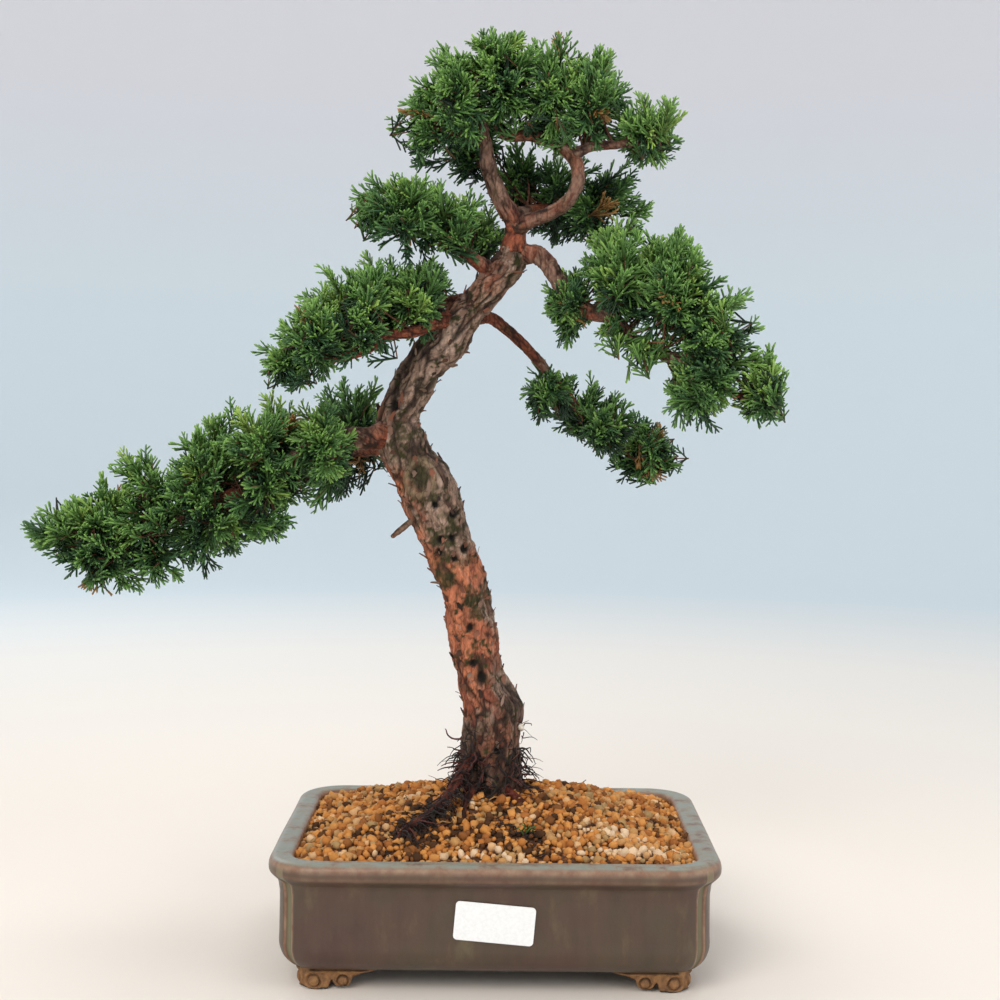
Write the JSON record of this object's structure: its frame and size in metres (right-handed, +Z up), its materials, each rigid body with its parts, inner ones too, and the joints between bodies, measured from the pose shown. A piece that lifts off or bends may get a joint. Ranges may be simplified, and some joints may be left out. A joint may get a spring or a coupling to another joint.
{
  "type": "juniper bonsai tree in a rectangular glazed pot",
  "caption": "Leaning juniper bonsai with peeling red bark and pads of scale foliage, rooted in a soil mound in a low rectangular glazed pot on corner feet.",
  "frame": {"origin": "middle of the bottom of the object's box, on the surface the pot's feet stand on", "axes": "+Z up, +X to the right seen from the pot's labelled front, +Y to the back"},
  "size_m": [0.385, 0.192, 0.482],
  "materials": {
    "pot_glaze": "dark grey-brown satin glaze, blue-grey on the rim, celadon at the corners; feet unglazed amber clay",
    "soil": "matt baked clay granules 2 to 5 mm, orange-brown with tan, dark and cream ones",
    "bark": "reddish-brown bark that peels in thin grey-tan strips",
    "dead_wood": "weathered bare wood",
    "root_bark": "thin dark red-brown root bark",
    "foliage": "scale-like juniper shoots, mid green with lime tips",
    "label_paper": "smooth white, blank",
    "screen_plastic": "black moulded grid",
    "clip_wire": "plain soft wire"
  },
  "bodies": {
    "root": {"pot": "pot_glaze", "drain_screen_left": "screen_plastic", "drain_clip_left": "clip_wire", "drain_screen_right": "screen_plastic", "drain_clip_right": "clip_wire", "soil_mound": "soil", "blank_label": "label_paper", "trunk": "bark", "apex_leader": "bark", "branch_low_left": "bark", "branch_back_left": "bark", "branch_mid_left": "bark", "branch_mid_back": "bark", "branch_upper_left": "bark", "branch_right": "bark", "branch_low_right": "bark", "apex_loop": "bark", "apex_side_twig": "bark", "apex_back_twig": "bark", "dead_stub": "dead_wood", "root_front_left": "root_bark", "root_front": "root_bark", "root_front_right": "root_bark", "root_right": "root_bark", "root_back": "root_bark", "foliage_low_left_tip": "foliage", "foliage_low_left_middle": "foliage", "foliage_low_left_inner": "foliage", "foliage_back_left": "foliage", "foliage_mid_left_tip": "foliage", "foliage_mid_left_inner": "foliage", "foliage_mid_back": "foliage", "foliage_upper_left": "foliage", "foliage_right_inner": "foliage", "foliage_right_middle": "foliage", "foliage_right_tip": "foliage", "foliage_low_right_inner": "foliage", "foliage_low_right_tip": "foliage", "foliage_apex_left": "foliage", "foliage_apex_top": "foliage", "foliage_apex_right": "foliage", "foliage_apex_back": "foliage"}
  },
  "joints": []
}
